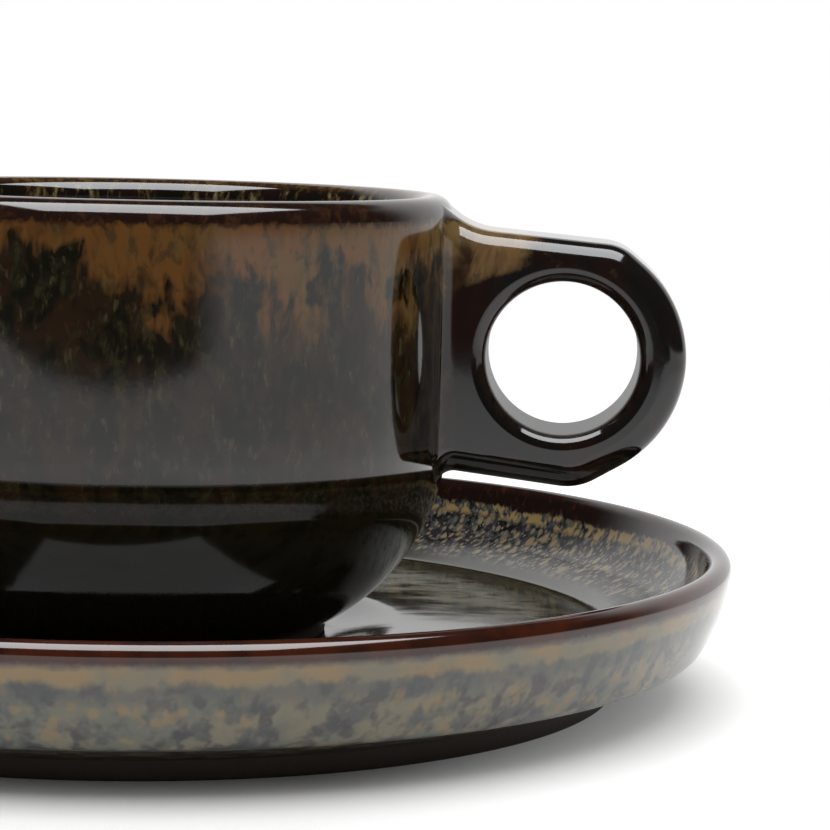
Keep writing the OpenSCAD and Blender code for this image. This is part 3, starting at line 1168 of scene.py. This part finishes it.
    def flare(self, handle: bpy.types.Object) -> None:
        """Widen the root along the wall, and draw it up to the rim and down at its underside.

        Args:
            handle: The handle, in edit mode. It is left in that mode.
        """
        for row in self.rows():
            select_mesh()
            bpy.ops.mesh.bisect(plane_co=(row * MM, 0, 0), plane_no=(1, 0, 0))
        select_mesh()
        bpy.ops.mesh.bisect(plane_co=(self.root_x * MM, 0, 0), plane_no=(1, 0, 0), clear_inner=True, use_fill=True)
        switch_to("OBJECT")
        for sign in (1, -1):
            self.pull(handle, "Y", sign, lambda at: self.spread(at) if at.y * sign > 0 else 0)
        self.pull(handle, "Z", 1, self.sweep_up)
        self.pull(handle, "Z", -1, self.tuck_down)
        switch_to("EDIT")

    def build(self) -> bpy.types.Object:
        """Build the handle, which rides with the cup.

        Returns:
            The finished handle.
        """
        handle = self.pierce(self.blank())
        self.flare(handle)
        finish_mesh(handle)
        weights = handle.modifiers.new("face weights", "WEIGHTED_NORMAL")
        weights.keep_sharp = True
        bpy.ops.object.modifier_apply(modifier=weights.name)
        dress(handle, [bpy.data.materials["cup_reactive_glaze"]], lambda centre, normal: 0)
        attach(handle, Body.CUP.value)
        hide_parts("cup_handle")
        return handle


@dataclass
class Saucer:
    """The saucer: foot ring, underside, bulging side, rounded rim and flat-floored dish."""

    radius: float = 64.3
    rim_z: float = SAUCER_RIM_Z
    rim_w: float = 2.6
    floor_z: float = 6.2
    seat_z: float = 5.1
    seat_r: float = 21.0
    seat_end_r: float = 29.5
    side_w: float = 14.3
    dish_curve_r: float = 6.0
    side_curve_r: float = 7.0
    side_run: float = 1.0
    dish_slope: float = 20.0
    bulge_r: float = 20.0
    bulge_z: float = 16.0
    knee_r: float = 3.0
    overhang: float = 12.1
    foot_w: float = 4.0
    foot_h: float = 2.0
    hollow: float = 1.6
    underside_slope: float = 18.4

    def section(self) -> Path2D:
        """Draw the half section, from the hollow under the foot round to the middle of the dish.

        Returns:
            The half section.
        """
        rim_r, foot_r = self.rim_w / 2, self.radius - self.overhang
        rim = Vector((self.radius - rim_r, self.rim_z - rim_r))
        bulge = Vector((rim.x - math.sqrt((self.bulge_r - rim_r)**2 - (self.bulge_z - rim.y)**2), self.bulge_z))
        under, foot_top = polar(1, self.underside_slope), Vector((foot_r, self.foot_h))
        knee = touching(foot_top, under, left_of(under) * self.knee_r, bulge, self.bulge_r - self.knee_r)
        path = Path2D().foot(0, self.hollow, self.foot_h, foot_r, self.foot_w, steps=8)
        path.line(*(knee - left_of(under) * self.knee_r), steps=6)
        path.arc(knee, self.knee_r, bearing(-left_of(under)), bearing(knee - bulge), step=6)
        path.arc(bulge, self.bulge_r, bearing(knee - bulge), bearing(rim - bulge), step=1.5)

        slope = polar(1, self.dish_slope)
        dish = Vector((self.radius - self.side_w, self.floor_z + self.dish_curve_r))
        dish_end = dish - left_of(slope) * self.dish_curve_r
        reach = self.side_curve_r + rim_r
        side = touching(dish_end, -slope, left_of(slope) * self.side_curve_r, rim, math.hypot(reach, self.side_run))
        across = bearing(rim - side) - math.degrees(math.atan2(self.side_run, reach))
        path.arc(rim, rim_r, bearing(rim - bulge), across + 180, step=7.5)
        path.line(*(side + polar(self.side_curve_r, across)), steps=2)
        path.arc(side, self.side_curve_r, across, self.dish_slope - 90, step=3)
        path.line(*dish_end, steps=6)
        path.arc(dish, self.dish_curve_r, self.dish_slope - 90, -90, step=2)
        path.line(self.seat_end_r, self.floor_z, steps=8)
        path.ease(self.seat_r, self.seat_z, steps=16)
        return path.line(0, self.seat_z, steps=8)

    def build(self) -> bpy.types.Object:
        """Build the saucer, which rides on its own body.

        Returns:
            The finished saucer.
        """
        saucer = throw("glazed_saucer", self.section())
        crest = self.radius - self.rim_w / 2
        dish, side, bare = range(3)

        def choose(centre: Vector, normal: Vector) -> int:
            """Pick the dish's, the side's or the bare finish.

            Args:
                centre: The face's centre, in millimetres.
                normal: Its normal.

            Returns:
                The finish's number.
            """
            radius = math.hypot(centre.x, centre.y)
            if centre.z < self.foot_h and radius < self.radius - self.overhang + SLACK:
                return bare
            return dish if normal.z > 0 and radius < crest else side

        dress(saucer, [DishGlaze().make(), SideGlaze().make(), bpy.data.materials["bare_stoneware"]], choose)
        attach(saucer, Body.SAUCER.value)
        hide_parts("saucer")
        return saucer


# ---- Studio ----


@dataclass
class Studio:
    """Pale table, a white wall behind, an overhead softbox, a window and the camera of the photograph.

    Pairs named for a rise or a fall are the two values between which it eases, in millimetres on the
    table and as parts of a direction round it.
    """

    camera_mm: tuple[float, float, float] = (45.27, -322.13, 64.25)
    yaw: float = -0.0472
    pitch: float = 0.1092
    roll: float = 0.0243
    lens_mm: float = 131.43
    table_front: float = -0.37
    table_reach: float = 1.6
    table_albedo: Colour = (0.9, 0.9, 0.9)
    table_far_rise: tuple[float, float] = (150.0, 330.0)
    # Painted light on the table, which lightens the object's shadow away from the foot and to the right.
    table_fill: float = 0.24
    fill_rise: tuple[float, float] = (52.0, 74.0)
    fill_right_rise: tuple[float, float] = (22.0, 62.0)
    fill_right_share: float = 0.7
    softbox_at: tuple[float, float, float] = (0.04, -0.27, 0.75)
    softbox_size: tuple[float, float] = (0.87, 0.76)
    softbox_glow: float = 8.6
    softbox_colour: Colour = (0.96, 0.98, 1.0)
    softbox_light: float = 2.0
    dark_sector: tuple[float, float] = (25.0, 43.0)
    beside_right_rise: tuple[float, float] = (0.0, 0.30)
    beside_left_rise: tuple[float, float] = (-0.02, 0.05)
    beside_fall: tuple[float, float] = (-0.03, 0.01)
    wall_rise: tuple[float, float] = (0.30, 0.70)
    wall_fall: tuple[float, float] = (0.58, 0.68)
    dark_level: float = 0.04
    ambient: float = 0.42
    window_at: tuple[float, float, float] = (-0.10, 0.80, 0.48)
    window_size: tuple[float, float] = (0.8, 0.8)
    window_watts: float = 5.0

    def camera(self) -> bpy.types.Object:
        """Set up the camera, at the photograph's place and turned as it was.

        Returns:
            The camera.
        """
        ahead = Vector((math.sin(self.yaw) * math.cos(self.pitch), math.cos(self.yaw) * math.cos(self.pitch),
                        -math.sin(self.pitch)))
        level = Vector((math.cos(self.yaw), -math.sin(self.yaw), 0))
        above = level.cross(ahead)
        right = level * math.cos(self.roll) + above * math.sin(self.roll)
        up = above * math.cos(self.roll) - level * math.sin(self.roll)
        data = bpy.data.cameras.new("camera")
        data.lens = self.lens_mm
        data.clip_start = MM
        camera = bpy.data.objects.new("camera", data)
        bpy.context.scene.collection.objects.link(camera)
        turn = Matrix((right, up, -ahead)).transposed().to_4x4()
        camera.matrix_world = Matrix.Translation(Vector(self.camera_mm) * MM) @ turn
        bpy.context.scene.camera = camera
        return camera

    def table(self) -> bpy.types.Object:
        """Lay the pale table top, which glows a little towards the eye and ends just behind the camera.

        Returns:
            The table top.
        """
        select_none()
        bpy.ops.mesh.primitive_plane_add(size=2 * self.table_reach)
        table = bpy.context.object
        table.name = table.data.name = "table_top"
        switch_to("EDIT")
        bpy.ops.mesh.bisect(plane_co=(0, self.table_front, 0), plane_no=(0, 1, 0), clear_inner=True)
        switch_to("OBJECT")
        bench = GlazeBench("table_top")
        direct, mirrored = bench.looks()
        seen = direct.at_least(mirrored)
        # Painted light: the table glows more away from the foot and more to the right, which lightens the shadow
        # there.
        fill = seen * (bench.radius.rise(*self.fill_rise)
                       + bench.x.rise(*self.fill_right_rise) * self.fill_right_share) * self.table_fill
        diffuse = bench.node("ShaderNodeBsdfDiffuse", inputs={"Color": self.table_albedo}).outputs[0]
        near = bench.node("ShaderNodeAddShader", inputs={0: diffuse, 1: bench.glow(fill)}).outputs[0]
        far = bench.radius.rise(*self.table_far_rise)
        both = bench.node("ShaderNodeMixShader", inputs={0: seen * far, 1: near, 2: bench.glow(1.0)}).outputs[0]
        table.data.materials.append(bench.close(both))
        return table

    @staticmethod
    def lamp(name: str, size: tuple[float, float], watts: float, at: tuple[float, float, float]) -> bpy.types.Object:
        """Hang a lamp that faces down and gives light, but is neither seen nor mirrored.

        Args:
            name: Name of the lamp.
            size: Its width and depth, in metres.
            watts: Its power.
            at: Its place, in metres.

        Returns:
            The lamp.
        """
        data = bpy.data.lights.new(name, "AREA")
        data.shape = "RECTANGLE"
        data.size, data.size_y = size
        data.energy = watts
        lamp = bpy.data.objects.new(name, data)
        bpy.context.scene.collection.objects.link(lamp)
        lamp.location = at
        lamp.visible_camera = lamp.visible_glossy = False
        return lamp

    def softboxes(self) -> None:
        """Hang the overhead softbox: one lamp lights the pieces, and its twin is what gloss mirrors."""
        watts = self.softbox_light * math.pi * self.softbox_size[0] * self.softbox_size[1]
        self.lamp("softbox_light", self.softbox_size, watts, self.softbox_at)
        select_none()
        bpy.ops.mesh.primitive_plane_add(size=1, location=self.softbox_at)
        face = bpy.context.object
        face.name = face.data.name = "softbox_face"
        bpy.ops.transform.resize(value=(*self.softbox_size, 1))
        bench = GlazeBench("softbox_face")
        face.data.materials.append(bench.close(bench.glow(self.softbox_glow, self.softbox_colour)))
        face.visible_camera = face.visible_diffuse = face.visible_shadow = face.visible_transmission = False

    def window(self) -> None:
        """Light the pieces softly from behind and a little from the left, so their shadow falls forward."""
        lamp = self.lamp("window_light", self.window_size, self.window_watts, self.window_at)
        lamp.rotation_euler = Vector(self.window_at).to_track_quat("Z", "Y").to_euler()

    def surroundings(self) -> None:
        """Make the world white to the camera.

        Gloss mirrors a white wall behind, the table's light beside and below the horizon, and a dark
        room elsewhere, with a dark sector between the two.
        """
        world = bpy.data.worlds.new("studio")
        bpy.context.scene.world = world
        bench = NodeBench(world)
        side, back, height = bench.split(bench.node("ShaderNodeTexCoord").outputs["Generated"])
        right, left = (math.radians(angle) for angle in self.dark_sector)
        to_right = side * math.cos(right) + back * math.sin(right)
        to_left = back * math.sin(left) - side * math.cos(left)
        beside = to_right.rise(*self.beside_right_rise).at_least(to_left.rise(*self.beside_left_rise))
        beside = beside * height.fall(*self.beside_fall)
        wall = (back.rise(*self.wall_rise) * height.fall(*self.wall_fall)).at_least(beside)
        camera, mirrored = bench.looks()
        level = camera + mirrored * (self.dark_level + (1 - self.dark_level) * wall)
        level = level + (1 - camera.at_least(mirrored)) * self.ambient
        background = bench.node("ShaderNodeBackground", inputs={"Color": WHITE, "Strength": level})
        bench.close(background.outputs[0], "World")

    def build(self) -> None:
        """Set up the whole studio."""
        bpy.context.scene.view_settings.view_transform = "Standard"
        self.camera()
        self.table()
        self.softboxes()
        self.window()
        self.surroundings()


def main() -> None:
    """Build the pieces and the studio."""
    logging.basicConfig(level=logging.INFO, format="%(name)s: %(message)s")
    cup = CupBody()
    for piece in (cup, RingHandle(cup), Saucer()):
        made = piece.build()
        log.info("%s: %d faces", made.name, len(made.data.polygons))
    Studio().build()


if __name__ == "__main__":
    main()
